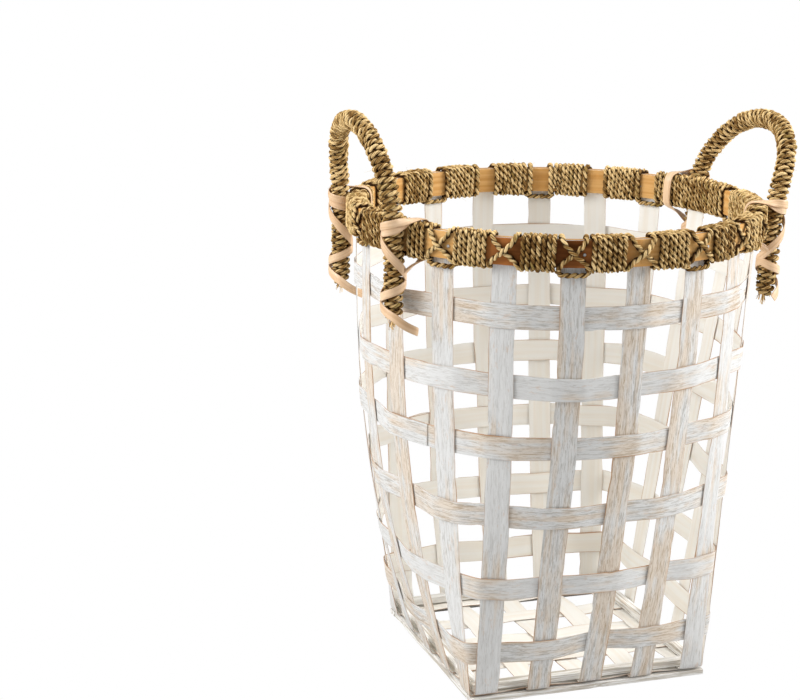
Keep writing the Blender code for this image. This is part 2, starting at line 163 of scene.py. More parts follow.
def resample(path, step, closed=False):
    """The same path with rows evenly spaced."""
    if closed:
        path = np.vstack([path, path[:1]])
    lengths = np.linalg.norm(np.diff(path[:, :3], axis=0), axis=1)
    at = np.concatenate([[0], np.cumsum(lengths)])
    wanted = np.linspace(0, at[-1], max(round(at[-1] / step), 3) + 1)
    if closed:
        wanted = wanted[:-1]
    return np.stack([np.interp(wanted, at, column) for column in path.T], axis=1)


def soften(path, reach, step, closed=False):
    """The path averaged with a bell curve. The ends of an open path stay where they are."""
    half = min(max(int(3 * reach / step), 1), len(path) - 1)
    weights = np.exp(-0.5 * (np.arange(-half, half + 1) * step / reach) ** 2)
    if closed:
        padded = np.pad(path, ((half, half), (0, 0)), mode="wrap")
    else:
        padded = np.pad(path, ((half, half), (0, 0)), mode="reflect", reflect_type="odd")
    return np.stack([np.convolve(column, weights / weights.sum(), "valid") for column in padded.T], axis=1)


def smooth_path(path, reach, step, closed=False):
    return soften(resample(path, step, closed), reach, step, closed)


def directions(points, closed=False):
    if closed:
        return unit(np.roll(points, -1, axis=0) - np.roll(points, 1, axis=0))
    return unit(np.gradient(points, axis=0))


def polar(azimuth, radius, height):
    """A point from its azimuth, its distance from the basket's axis and its height."""
    parts = np.broadcast_arrays(radius * np.sin(azimuth), -radius * np.cos(azimuth), height)
    return np.stack(parts, axis=-1)


def ease(value):
    value = np.clip(value, 0, 1)
    return value * value * (3 - 2 * value)


def wander(rng, distance, scale):
    """A smooth random wave of about unit height, with one value for each distance."""
    at = distance / scale
    base = at.astype(int)
    knots = rng.normal(size=base.max() + 2) * 0.7
    return knots[base] + (knots[base + 1] - knots[base]) * ease(at - base)


def grain(rng, distance, across, long_scale, fine_scale):
    """Long narrow ridges of about unit height over a strip, as one row for each distance."""
    rows, columns = distance / long_scale, (across - across.min()) / fine_scale
    row, column = rows.astype(int), columns.astype(int)
    knots = rng.normal(size=(row.max() + 2, column.max() + 2)) * 0.7
    down, over = ease(rows - row)[:, None], ease(columns - column)[None, :]
    near = knots[row][:, column] * (1 - over) + knots[row][:, column + 1] * over
    far = knots[row + 1][:, column] * (1 - over) + knots[row + 1][:, column + 1] * over
    return near * (1 - down) + far * down


# Meshes.


class Skin:
    """Swept shapes gathered into one mesh.

    Each point keeps its place in the straightened shape, as across, through and along, for the grain of
    its material. Its marks are the face (0 inner, 1 outer), the wear (1 at an edge) and the tone. On twine
    the first mark is instead how open the point is, which sets the shade painted into the gaps between plies.
    """

    def __init__(self):
        self.points, self.quads, self.straight, self.marks = [], [], [], []
        self.count = 0

    def sweep(self, rings, straight, marks, closed=False):
        count, around = rings.shape[:2]
        index = np.arange(count * around).reshape(count, around) + self.count
        this = index if closed else index[:-1]
        following = np.roll(index, -1, axis=0) if closed else index[1:]
        wall = np.stack([this, np.roll(this, -1, 1), np.roll(following, -1, 1), following], -1)
        quads = [wall.reshape(-1, 4)]
        if not closed:
            i = np.arange(around // 2 - 1)
            quads.append(np.stack([index[-1, j] for j in (i, i + 1, around - 2 - i, around - 1 - i)], -1))
            quads.append(np.stack([index[0, j] for j in (around - 1 - i, around - 2 - i, i + 1, i)], -1))
        self.quads.append(np.vstack(quads))
        self.count += count * around
        for store, values in ((self.points, rings), (self.straight, straight), (self.marks, marks)):
            store.append(np.broadcast_to(values, rings.shape).reshape(-1, 3))

    def piece(self, name, material, nodes, sharp=50):
        """Makes the object, which stands for the given CAD nodes."""
        quads = np.vstack(self.quads)
        mesh = bpy.data.meshes.new(name)
        mesh.vertices.add(self.count)
        mesh.vertices.foreach_set("co", (np.vstack(self.points) + AXIS).ravel())
        mesh.loops.add(quads.size)
        mesh.loops.foreach_set("vertex_index", quads.ravel())
        mesh.polygons.add(len(quads))
        mesh.polygons.foreach_set("loop_start", np.arange(0, quads.size, 4))
        mesh.update(calc_edges=True)
        for label, values in (("straight", self.straight), ("marks", self.marks)):
            attribute = mesh.attributes.new(label, "FLOAT_VECTOR", "POINT")
            attribute.data.foreach_set("vector", np.vstack(values).ravel())
        mesh.shade_smooth()
        mesh.set_sharp_from_angle(angle=math.radians(sharp))
        mesh.materials.append(material)
        item = bpy.data.objects.new(name, mesh)
        bpy.context.scene.collection.objects.link(item)
        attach(item, "root")
        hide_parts(*nodes)


def nicks(rng, distance):
    """How far small chips cut into an edge."""
    depth = np.zeros(len(distance))
    for _ in range(int(distance[-1] * NICKS)):
        place, length = rng.uniform(0, distance[-1]), rng.uniform(0.002, 0.010)
        depth += rng.uniform(0.0002, 0.0010) * np.exp(-(((distance - place) / length) ** 2))
    return depth


def add_strip(skin, path, width, thick, rng, relief=0.00016, rounding=0.55, wave=0.0003, crown=0.0,
              points=STRIP_POINTS, step=STRIP_STEP, tone=0.5, closed=False):
    """A flat worn strip along a path whose direction columns point sideways.

    The relief is the height of the raised grain, rounding is how far the edges thin down, wave is how far
    they stray from straight, and crown is the rise of the strip's middle.
    """
    middle = path[:, :3]
    along = directions(middle, closed)
    normal = unit(np.cross(along, path[:, 3:]))
    sideways = np.cross(normal, along)
    distance = np.arange(len(path)) * step
    share = np.linspace(1, -1, points)
    edge = np.abs(share) ** 6
    reach = []
    for _ in range(2):
        reach.append(width / 2 + wave * wander(rng, distance, 0.018) - nicks(rng, distance) * (wave > 0))
    across = share * np.where(share > 0, reach[0][:, None], reach[1][:, None])
    half = thick / 2 * (1 - rounding * edge)
    flat = share * width / 2
    faces = []
    for outward in (1, -1):
        ridges = relief * grain(rng, distance, flat[::-1], 0.035, 0.0022)[:, ::-1] * (1 - edge)
        height = outward * (half + (ridges if outward == 1 else ridges * 0.3)) + crown * (1 - share ** 2)
        faces.append((across, height, np.full(points, (outward + 1) / 2)))
    across, height, face = (np.concatenate([faces[0][i], faces[1][i][..., ::-1]], axis=-1) for i in range(3))
    rings = middle[:, None] + sideways[:, None] * across[..., None] + normal[:, None] * height[..., None]
    start = rng.uniform(0, 50)
    straight = np.stack([across, height, np.broadcast_to((distance + start)[:, None], across.shape)], -1)
    wear = np.concatenate([np.abs(share), np.abs(share[::-1])])
    marks = np.stack(np.broadcast_arrays(face, wear, tone), -1)
    skin.sweep(rings, straight, marks, closed)


def add_twine(skin, path, rng, closed=False, size=1.0, tone=0.5):
    """Two plies twisted round a path whose direction columns point away from what it lies on.

    The first mark says how open each point is: 1 on top of the twine, and 0 in the gaps beside and inside it,
    where the twine's material paints shade.
    """
    if closed:
        path = np.vstack([path, path[:1]])
    middle = path[:, :3]
    along = directions(middle)
    other = unit(np.cross(along, path[:, 3:]))
    normal = np.cross(other, along)
    distance = np.arange(len(path)) * TWINE_STEP
    twists = distance[-1] / (TWINE_LAY * size)
    if closed:
        twists = round(twists * 2) / 2
    angle = -math.tau * twists * np.linspace(0, 1, len(path))
    phase = rng.uniform(0, math.tau)
    sides = np.arange(TWINE_SIDES) * math.tau / TWINE_SIDES
    for ply in (0, math.pi):
        turned = (angle + phase + ply)[:, None]
        radial = np.cos(turned) * normal + np.sin(turned) * other
        centre = middle + radial * PLY_OFFSET * size
        forward = directions(centre)
        radial = unit(radial - forward * (radial * forward).sum(1, keepdims=True))
        third = np.cross(forward, radial)
        radius = PLY_RADIUS * size * (1 + 0.10 * wander(rng, distance, 0.006))
        ring = np.cos(sides)[None, :, None] * radial[:, None] + np.sin(sides)[None, :, None] * third[:, None]
        rings = centre[:, None] + ring * radius[:, None, None]
        from_middle = rings - middle[:, None]
        height = (from_middle * normal[:, None]).sum(2)
        # How open each point is: low in the gaps beside and inside the twine, where its material paints
        # shade.
        painted_shade_openness = (height + np.linalg.norm(from_middle, axis=2)) / (2 * TWINE_HALF * size)
        flat = np.stack([np.cos(sides), np.sin(sides)], -1) * PLY_RADIUS
        start = rng.uniform(0, 50)
        straight = np.empty(rings.shape)
        straight[..., :2] = flat
        straight[..., 2] = (distance + start)[:, None]
        shade = tone + 0.25 * wander(rng, distance, 0.02)
        marks = np.stack(np.broadcast_arrays(painted_shade_openness, 0.0, shade[:, None]), -1)
        skin.sweep(rings, straight, marks)


def add_hairs(skin, path, rng, count, length=0.006):
    """Loose fibres that stand off a twine's path."""
    steps = np.linspace(0, 1, 5)[:, None]
    sides = np.arange(FIBRE_SIDES) * math.tau / FIBRE_SIDES
    for _ in range(count):
        row = rng.integers(1, len(path) - 1)
        along = unit(path[row + 1, :3] - path[row - 1, :3])
        out = unit(path[row, 3:] + rng.normal(size=3) * 0.5)
        start = path[row, :3] + out * TWINE_HALF * 0.6
        reach = length * rng.uniform(0.4, 1.3)
        lean = along * rng.uniform(-1, 1) + rng.normal(size=3) * 0.4
        middle = start + (out * steps + lean * steps ** 2) * reach * 0.7
        across = unit(np.cross(out, along + 0.01))
        other = np.cross(out, across)
        radius = 0.00011 * (1 - 0.7 * steps[:, :, None])
        ring = np.cos(sides)[:, None] * across + np.sin(sides)[:, None] * other
        straight, marks = np.array((0.0, 0.0, row * 0.01)), np.array((1.0, 0.0, 0.8))
        skin.sweep(middle[:, None] + ring[None] * radius, straight, marks)


# Materials.


class Nodes:
    """Short ways to add and join the nodes of one material.

    A piece's material has the name of its slot in the record. The frame already has a material of that name,
    so Blender numbers this one, and the slot's own name is kept with it.
    """

    def __init__(self, name):
        self.material = bpy.data.materials.new(name)
        self.material["slot"] = name
        self.material.use_nodes = True
        self.tree = self.material.node_tree
        self.shader = self.tree.nodes["Principled BSDF"]

    def add(self, kind, inputs=(), **settings):
        node = self.tree.nodes.new("ShaderNode" + kind)
        for key, value in settings.items():
            setattr(node, key, value)
        for key, value in dict(inputs).items():
            self.set(node.inputs[key], value)
        return node

    def set(self, socket, value):
        if isinstance(value, bpy.types.NodeSocket):
            self.tree.links.new(value, socket)
        else:
            socket.default_value = value

    def attribute(self, name):
        return self.add("Attribute", attribute_name=name).outputs["Vector"]

    def part(self, vector, axis):
        return self.add("SeparateXYZ", {0: vector}).outputs[axis]

    def maths(self, operation, first, second):
        return self.add("Math", {0: first, 1: second}, operation=operation).outputs[0]

    def noise(self, vector, stretch, detail=3.0, roughness=0.55, seed=0.0, wavy=0.0):
        """Noise with features of about one over stretch, in metres, along each axis."""
        offset = (seed, seed * 1.7, seed * 0.3)
        scaled = self.add("VectorMath", {0: vector, 1: stretch}, operation="MULTIPLY").outputs[0]
        moved = self.add("VectorMath", {0: scaled, 1: offset}, operation="ADD").outputs[0]
        inputs = {"Vector": moved, "Scale": 1.0, "Detail": detail, "Roughness": roughness, "Distortion": wavy}
        return self.add("TexNoise", inputs).outputs["Fac"]

    def span(self, value, low, high, start=0.0, end=1.0):
        """The value's place between low and high, moved to between start and end."""
        inputs = {"Value": value, "From Min": low, "From Max": high, "To Min": start, "To Max": end}
        return self.add("MapRange", inputs, interpolation_type="SMOOTHSTEP").outputs["Result"]

    def mix(self, share, first, second):
        node = self.add("Mix", data_type="RGBA")
        for socket, value in ((0, share), (6, first), (7, second)):
            self.set(node.inputs[socket], (*value, 1) if isinstance(value, tuple) else value)
        return node.outputs[2]

    def finish(self, colour, roughness, height=None, depth=0.0003, strength=1.0, gloss=0.5):
        self.set(self.shader.inputs["Base Color"], colour)
        self.set(self.shader.inputs["Roughness"], roughness)
        self.set(self.shader.inputs["Specular IOR Level"], gloss)
        if height is not None:
            bump = self.add("Bump", {"Height": height, "Distance": depth, "Strength": strength})
            self.set(self.shader.inputs["Normal"], bump.outputs[0])
        return self.material


def whitewash_material():
    """White limewash over split wood: open grain and worn edges outside, and a smooth cream inside."""
    nodes = Nodes("whitewashed_splint")
    straight, marks = nodes.attribute("straight"), nodes.attribute("marks")
    outer, wear, tone = (nodes.part(marks, axis) for axis in "XYZ")
    place = nodes.add("TexCoord").outputs["Object"]
    lines = nodes.noise(straight, (900, 360, 60), 4.0, 0.64, 0.0, 1.3)
    fine = nodes.noise(straight, (2400, 900, 220), 3.0, 0.6, 3.0, 1.0)
    streaks = nodes.noise(straight, (190, 60, 7), 3.0, 0.5, 7.0)
    patches = nodes.noise(place, (24, 24, 19), 3.0, 0.55, 11.0)
    scuffs = nodes.noise(straight, (200, 60, 70), 4.0, 0.7, 5.0)

    worn = nodes.maths("ADD", nodes.maths("MULTIPLY", tone, 0.5), nodes.maths("MULTIPLY", patches, 0.9))
    open_grain = nodes.span(nodes.maths("ADD", lines, nodes.maths("MULTIPLY", fine, 0.35)), 0.64, 0.80)
    open_grain = nodes.maths("MULTIPLY", open_grain, nodes.span(worn, 0.40, 0.85, 0.40, 1.0))
    warmth = nodes.maths("ADD", nodes.maths("MULTIPLY", streaks, 0.7), nodes.maths("MULTIPLY", patches, 0.8))
    warmth = nodes.span(nodes.maths("ADD", warmth, nodes.maths("MULTIPLY", tone, 0.20)), 0.78, 1.02)
    wash = nodes.mix(warmth, (0.69, 0.69, 0.68), (0.68, 0.60, 0.51))
    ground = nodes.mix(warmth, (0.42, 0.40, 0.37), (0.46, 0.35, 0.24))
    front = nodes.mix(open_grain, wash, ground)
    front = nodes.mix(nodes.span(scuffs, 0.58, 0.72, 0.0, 0.5), front, (0.60, 0.44, 0.32))
    back = nodes.mix(nodes.span(streaks, 0.35, 0.7, 0.0, 0.6), (0.86, 0.845, 0.80), (0.82, 0.75, 0.645))
    colour = nodes.mix(outer, back, front)
    frayed = nodes.maths("ADD", wear, nodes.maths("MULTIPLY", nodes.maths("SUBTRACT", streaks, 0.5), 0.30))
    worn_through = nodes.span(patches, 0.35, 0.58, 0.30, 0.90)
    bare = nodes.maths("MULTIPLY", nodes.span(frayed, 0.94, 1.02), worn_through)
    colour = nodes.mix(bare, colour, (0.42, 0.22, 0.10))
    height = nodes.maths("MULTIPLY", nodes.maths("ADD", lines, nodes.maths("MULTIPLY", fine, 0.5)), outer)
    return nodes.finish(colour, 0.72, height, 0.00022, 0.6)


def slat_material():
    """The same limewash on sawn slats."""
    nodes = Nodes("whitewashed_slat")
    straight = nodes.attribute("straight")
    lines = nodes.noise(straight, (500, 500, 16), 4.0, 0.65)
    patches = nodes.noise(straight, (90, 90, 20), 3.0, 0.6, 9.0)
    colour = nodes.mix(nodes.span(lines, 0.42, 0.56), (0.50, 0.45, 0.38), (0.80, 0.79, 0.76))
    colour = nodes.mix(nodes.span(patches, 0.58, 0.74, 0.0, 0.6), colour, (0.58, 0.45, 0.32))
    return nodes.finish(colour, 0.75, lines, 0.0005, 0.8)


def twine_material():
    """Dried seagrass: straw, olive and brown fibres along each ply, with shade painted near black into the
    gaps between and beside the plies.
    """
    nodes = Nodes("seagrass_twine")
    straight, marks = nodes.attribute("straight"), nodes.attribute("marks")
    painted_shade_openness, tone = nodes.part(marks, "X"), nodes.part(marks, "Z")
    blades = nodes.noise(straight, (700, 700, 75), 2.0, 0.5)
    fibres = nodes.noise(straight, (2600, 2600, 130), 3.0, 0.6, 4.0)
    bruises = nodes.noise(straight, (200, 200, 60), 2.0, 0.5, 8.0)
    light = nodes.maths("ADD", nodes.maths("MULTIPLY", blades, 0.8), nodes.maths("MULTIPLY", fibres, 0.5))
    light = nodes.maths("ADD", light, nodes.maths("MULTIPLY", nodes.maths("SUBTRACT", tone, 0.5), 0.30))
    colour = nodes.mix(nodes.span(light, 0.46, 0.68), (0.14, 0.066, 0.016), (0.40, 0.235, 0.072))
    colour = nodes.mix(nodes.span(light, 0.60, 0.76), colour, (0.84, 0.61, 0.30))
    colour = nodes.mix(nodes.span(bruises, 0.58, 0.72, 0.0, 0.5), colour, (0.27, 0.205, 0.052))
    # Painted shade: near black where a point lies deep between or beside the plies, going by its openness
    # mark.
    colour = nodes.mix(nodes.span(painted_shade_openness, 0.36, 0.74), (0.042, 0.018, 0.005), colour)
    height = nodes.maths("ADD", fibres, nodes.maths("MULTIPLY", blades, 0.5))
    return nodes.finish(colour, 0.7, height, 0.0004, 0.9, 0.08)


def hoop_material():
    """Bent pine, honey coloured, with a stretch stained dark brown. The tone says how dark."""
    nodes = Nodes("bare_wood")
    straight, marks = nodes.attribute("straight"), nodes.attribute("marks")
    tone = nodes.part(marks, "Z")
    lines = nodes.noise(straight, (330, 330, 9), 2.0, 0.45)
    fine = nodes.noise(straight, (1800, 1800, 60), 3.0, 0.6, 2.0)
    clouds = nodes.noise(straight, (60, 60, 35), 2.0, 0.5, 6.0)
    pale = nodes.mix(nodes.span(lines, 0.30, 0.70), (0.60, 0.30, 0.085), (0.72, 0.42, 0.155))
    stain = nodes.maths("ADD", tone, nodes.maths("MULTIPLY", nodes.maths("SUBTRACT", clouds, 0.5), 0.5))
    stain = nodes.maths("ADD", stain, nodes.maths("MULTIPLY", nodes.maths("SUBTRACT", lines, 0.5), 0.3))
    colour = nodes.mix(nodes.span(stain, 0.15, 0.60), pale, (0.41, 0.145, 0.036))
    colour = nodes.mix(nodes.span(stain, 0.60, 1.0), colour, (0.115, 0.032, 0.004))
    return nodes.finish(colour, 0.55, nodes.maths("ADD", lines, fine), 0.0002, 0.5, 0.1)


def cane_material():
    """Peeled cane: peach tan, smooth, with faint long lines."""
    nodes = Nodes("cane")
    straight, marks = nodes.attribute("straight"), nodes.attribute("marks")
    wear = nodes.part(marks, "Y")
    lines = nodes.noise(straight, (700, 700, 12), 2.0, 0.5)
    clouds = nodes.noise(straight, (120, 120, 30), 2.0, 0.5, 5.0)
    colour = nodes.mix(nodes.span(lines, 0.30, 0.70), (0.66, 0.42, 0.23), (0.80, 0.56, 0.35))
    colour = nodes.mix(nodes.span(clouds, 0.5, 0.75, 0.0, 0.6), colour, (0.84, 0.63, 0.43))
    colour = nodes.mix(nodes.span(wear, 0.86, 1.0, 0.0, 0.5), colour, (0.45, 0.27, 0.14))
    return nodes.finish(colour, 0.42, lines, 0.0001, 0.4)


def steel_material():
    nodes = Nodes("steel")
    place = nodes.add("TexCoord").outputs["Object"]
    scratches = nodes.noise(place, (900, 900, 900), 3.0)
    nodes.shader.inputs["Metallic"].default_value = 1.0
    colour = nodes.mix(scratches, (0.62, 0.61, 0.60), (0.42, 0.41, 0.40))
    return nodes.finish(colour, nodes.span(scratches, 0.3, 0.7, 0.25, 0.5), scratches, 0.0001, 0.3)


# Splints and weavers.


def splint_path(node, run, sideways):
    """Down one wall, under the basket along run, and up the far wall. The directions point sideways."""
    points = corners(node)
    forward = points @ run
    mat_top = box("inner_slat_front")[0, 2]
    base_half = -box("foot_slat_front")[0, 1] + 0.0005
    wall = points[:, 2] > mat_top + 0.002
    clear_of_bends = np.abs(forward) < base_half - 0.015
    floor = (points[:, 2] < mat_top) & clear_of_bends
    near, far = wall & (forward < 0), wall & (forward > 0)
    under = sections(points[floor], forward[floor], sideways)
    turns = []
    for row, end in ((under[0], -base_half), (under[-1], base_half)):
        turn = row.copy()
        turn[:3] += run * (end - row[:3] @ run)
        turns.append(turn)
    down = sections(points[near], -points[near, 2], sideways)
    rise = sections(points[far], points[far, 2], sideways)
    path = resample(np.vstack([down, turns[0], under, turns[1], rise]), STRIP_STEP)
    folded, bowed = soften(path, 0.0018, STRIP_STEP), soften(path, 0.010, STRIP_STEP)
    share = ease((path[:, 2] - mat_top) / 0.035)[:, None]
    return folded * (1 - share) + bowed * share


def stake_line(path, forward, reverse):
    """The part of a splint's path up one wall, with its directions turned towards the next stake."""
    line = path[forward & (path[:, 2] > box("inner_slat_front")[0, 2])]
    line = line[np.argsort(line[:, 2])]
    if reverse:
        line = line * np.array((1, 1, 1, -1, -1, -1))
    return line


def make_splints(material):
    """Makes every splint, and returns the stakes' lines by stake number."""
    lines = {}
    runs = (("front_to_back", (0, 1, 0), (1, 0, 0), 0), ("side_to_side", (-1, 0, 0), (0, 1, 0), STAKES // 4))
    for kind, run, sideways, quarter in runs:
        run, sideways = np.array(run), np.array(sideways)
        for i in range(1, 6):
            node = f"splint_{kind}_{i}"
            rng = np.random.default_rng(100 + 10 * quarter + i)
            path = splint_path(node, run, sideways)
            # Both walls stray a little from straight, but not near the base or the rim.
            distance = np.arange(len(path)) * STRIP_STEP
            shift = 0.0007 * wander(rng, distance, 0.09) * ease((path[:, 2] - 0.02) / 0.05)
            shift *= ease((path[:, 2].max() - path[:, 2]) / 0.03)
            path[:, :3] += path[:, 3:] * shift[:, None]
            forward = path[:, :3] @ run
            from_middle = i - 3
            first = (quarter + from_middle) % STAKES
            last = (quarter + STAKES // 2 - from_middle) % STAKES
            lines[first] = stake_line(path, forward < 0, False)
            lines[last] = stake_line(path, forward > 0, True)
            skin = Skin()
            add_strip(skin, path, SPLINT_WIDTH, SPLINT_THICK, rng, tone=rng.uniform(0, 1))
            skin.piece(f"{node}_surface", material, [node], 60)
    return lines


def at_height(line, height):
    """The row of a stake's line at a height, and the direction up the stake there."""
    def row(z):
        return np.array([np.interp(z, line[:, 2], column) for column in line.T])
    here = row(height)
    return here, unit(row(height + 0.004)[:3] - row(height - 0.004)[:3])


def make_weavers(lines, material):
    for number in range(1, ROWS + 1):
        node = f"weaver_row_{number}"
        rng = np.random.default_rng(200 + number)
        height = middle_height(node)
        drift = rng.normal(size=STAKES) * 0.0006
        lap = LAPS[number - 1]
        rows = []
        for stake in range(lap, lap + STAKES + 2):
            here, up = at_height(lines[stake % STAKES], height + drift[stake % STAKES])
            across = unit(here[3:])
            normal = unit(np.cross(across, up))
            offset = WEAVE if (stake + number) % 2 == 0 else -WEAVE
            over = 0.0012 * ease(stake - lap - STAKES + 1)
            for side in (-HUG, -HUG / 3, HUG / 3, HUG):
                rows.append(np.concatenate([here[:3] + normal * (offset + over) + across * side, up]))
        path = smooth_path(np.array(rows), 0.0032, STRIP_STEP)
        start, spare = (round(trim / STRIP_STEP) for trim in LAP_TRIMS)
        skin = Skin()
        add_strip(skin, path[start:-spare], WEAVER_WIDTH, SPLINT_THICK, rng, tone=rng.uniform(0, 1))
        skin.piece(f"{node}_surface", material, [node], 60)


def make_slats(material):
    """Foot slats and inner slats, each with a worn, slightly wavy edge."""
    for kind in ("foot_slat", "inner_slat"):
        for i, side in enumerate(("front", "right", "back", "left")):
            node = f"{kind}_{side}"
            low, high = box(node)
            rng = np.random.default_rng(300 + i + (10 if kind == "foot_slat" else 0))
            centre, size = (low + high) / 2, high - low
            axis = 0 if size[0] > size[1] else 1
            run = np.eye(3)[axis] * size[axis] / 2
            across = np.cross(unit(run), UP)
            path = np.array([np.concatenate([centre - run, across]), np.concatenate([centre + run, across])])
            path = resample(path, STRIP_STEP)
            skin = Skin()
            width, thick = size[1 - axis] - 0.0004, size[2] - 0.0006
            add_strip(skin, path, width, thick, rng, relief=0.00025, rounding=0.16, wave=0.0002)
            skin.piece(f"{node}_surface", material, [node], 40)


# Rim.


def rim_box():
    """Inner radius, outer radius, bottom and top of the two hoops together."""
    outer, inner = box("outer_rim_hoop"), corners("inner_rim_hoop")
    inner_radius = np.linalg.norm(inner[:, :2], axis=1).min()
    return inner_radius, outer[1, 0], outer[0, 2], outer[1, 2]


def make_hoops(material):
    for node, seed in (("outer_rim_hoop", 401), ("inner_rim_hoop", 402)):
        rng = np.random.default_rng(seed)
        points = corners(node)
        reach = np.linalg.norm(points[:, :2], axis=1)
        low, high = box(node)[:, 2]
        radius, thick = (reach.min() + reach.max()) / 2, reach.max() - reach.min()
        count = round(math.tau * radius / STRIP_STEP)
        azimuth = np.arange(count) * math.tau / count
        ring = np.hstack([polar(azimuth, radius, (low + high) / 2), np.tile(UP, (count, 1))])
        turned = (np.degrees(azimuth) - STAIN_MIDDLE + 180) % 360 - 180
        dark = np.exp(-((turned / STAIN_REACH) ** 2)) if node == "outer_rim_hoop" else np.zeros(count)
        skin = Skin()
        add_strip(skin, ring, high - low - 0.0006, thick - 0.0003, rng, relief=0.00012, rounding=0.3,
                  wave=0, tone=dark[:, None], closed=True)
        skin.piece(f"{node}_surface", material, [node], 40)


def rim_loop(stand):
    """The line once round the rim's section, at a distance from the hoops: over, down inside, under and up.

    Returns the share of the way round at each row. The rows' columns are radius and height, then the
    direction away from the hoops.
    """
    inner, outer, low, high = rim_box()
    loop = []
    for radius, height, start in ((outer, high, 0), (inner, high, 90), (inner, low, 180), (outer, low, 270)):
        for angle in np.radians(np.linspace(start, start + 90, 7)):
            direction = np.array((math.cos(angle), math.sin(angle)))
            middle = np.array((radius, height)) + direction * stand
            loop.append(np.concatenate([middle, direction]))
    loop = np.array(loop)
    loop = np.vstack([loop, loop[:1]])
    lengths = np.concatenate([[0], np.cumsum(np.linalg.norm(np.diff(loop[:, :2], axis=0), axis=1))])
    return lengths / lengths[-1], loop


def around_rim(azimuth, turn, stand, extra=0.0):
    """Twine path rows on the rim from azimuths and turn counts. A turn starts at the top of the outside."""
    at, loop = rim_loop(stand)
    radius, height, out, rise = (np.interp(turn % 1, at, column) for column in loop.T)
    radius, height = radius + out * extra, height + rise * extra
    return np.hstack([polar(azimuth, radius, height), unit(polar(azimuth, out, rise))])


def patch_of(stake):
    """First and last azimuth of the bare hoop at a stake, or at the handle leg beside it."""
    middle = stake * STAKE_STEP
    for leg in leg_azimuths():
        away = (leg - middle + math.pi) % math.tau - math.pi
        if abs(away) < STAKE_STEP / 2:
            return middle + away - LEG_HALF, middle + away + LEG_HALF
    return middle - PATCH_HALF, middle + PATCH_HALF


def crossing(leg):
    """Where a leg's middle line, given from its foot up, passes the bottom of the hoops."""
    height = rim_box()[2]
    return np.array([np.interp(height, leg[:, 2], column) for column in leg.T[:2]])


def leg_azimuths():
    found = []
    for line in (handle_line("left"), handle_line("right")):
        for leg in (line[:LEG_SECTIONS], line[::-1][:LEG_SECTIONS]):
            x, y = crossing(leg)
            found.append(math.atan2(x, -y))
    return found


def add_sleeve(skin, start, end, rng):
    """Twine wound closely round the rim between two azimuths."""
    pitch = RIM_PITCH / rim_box()[1]
    turns = max(round((end - start) / pitch), 2)
    pitch = (end - start) / turns
    count = int(turns * RIM_TURN / TWINE_STEP)
    turn = np.linspace(0.55, turns + 0.45, count)
    # Each turn moves along the rim mostly on the inside and underneath, so it looks straight from outside.
    steady = np.floor(turn) + ease(((turn % 1) - 0.25) / 0.5)
    azimuth = start + pitch * (0.45 * turn + 0.55 * steady - 0.5)
    distance = np.arange(count) * TWINE_STEP
    azimuth = azimuth + 0.0011 * wander(rng, distance, 0.03)
    path = around_rim(azimuth, turn, TWINE_STAND, 0.00035 * wander(rng, distance, 0.02))
    path = resample(path, TWINE_STEP)
    add_twine(skin, path, rng, tone=rng.uniform(0.3, 0.7))
    add_hairs(skin, path, rng, 9, 0.005)


def add_arcs(skin, leg, rng):
    """The turns of twine behind a handle leg: over the top of the rim, down its inside and underneath."""
    pitch = RIM_PITCH / rim_box()[1]
    for place in np.arange(-1.5, 2):
        turn = np.linspace(0.05, 0.67, round(0.62 * RIM_TURN / TWINE_STEP))
        azimuth = np.full(len(turn), leg + place * pitch)
        path = around_rim(azimuth, turn, TWINE_STAND)
        add_twine(skin, path, rng, tone=rng.uniform(0.3, 0.7))


def add_cross(skin, stake, rng):
    """A closed loop of twine that crosses itself on the bare hoop at a stake."""
    middle = stake * STAKE_STEP
    low_reach, high_reach, inner_reach = (math.radians(angle) for angle in (4.2, 3.0, 3.4))
    inner, outer, low, high = rim_box()
    stand = TWINE_STAND
    lift = 0.0030  # of the upper strand over the lower one
    rows = []
    for side in (-1, 1):
        over = lift if (side == -1) == (stake % 2 == 0) else 0.0
        points = (
            (-0.95 * low_reach, outer + stand * 0.9, low - 0.0006),
            (-0.75 * low_reach, outer + stand, low + 0.004),
            (-0.08 * low_reach, outer + stand + over, (low + high) / 2 - 0.0005),
            (0.10 * low_reach, outer + stand + over, (low + high) / 2 + 0.002),
            (0.85 * high_reach, outer + stand, high - 0.003),
            (high_reach, outer + stand * 0.8, high + stand * 0.7),
            (0.5 * (high_reach + inner_reach), (inner + outer) / 2, high + stand + 0.0004),
            (inner_reach, inner - stand * 0.7, high + stand * 0.7),
            (inner_reach, inner - stand, high - 0.003),
            (inner_reach, inner - stand, low + 0.003),
            (inner_reach, inner - stand * 0.7, low - stand * 0.7),
            (0.5 * (inner_reach + low_reach), (inner + outer) / 2, low - stand - 0.0002),
        )
        for angle, radius, height in points:
            place = polar(middle - side * angle, radius, height)
            away = polar(middle - side * angle, radius - (inner + outer) / 2, height - (low + high) / 2)
            rows.append(np.concatenate([place, unit(away)]))
    path = smooth_path(np.array(rows), 0.0018, TWINE_STEP, closed=True)
    add_twine(skin, path, rng, closed=True, size=CROSS_TWINE, tone=rng.uniform(0.45, 0.8))
    add_hairs(skin, path, rng, 4)


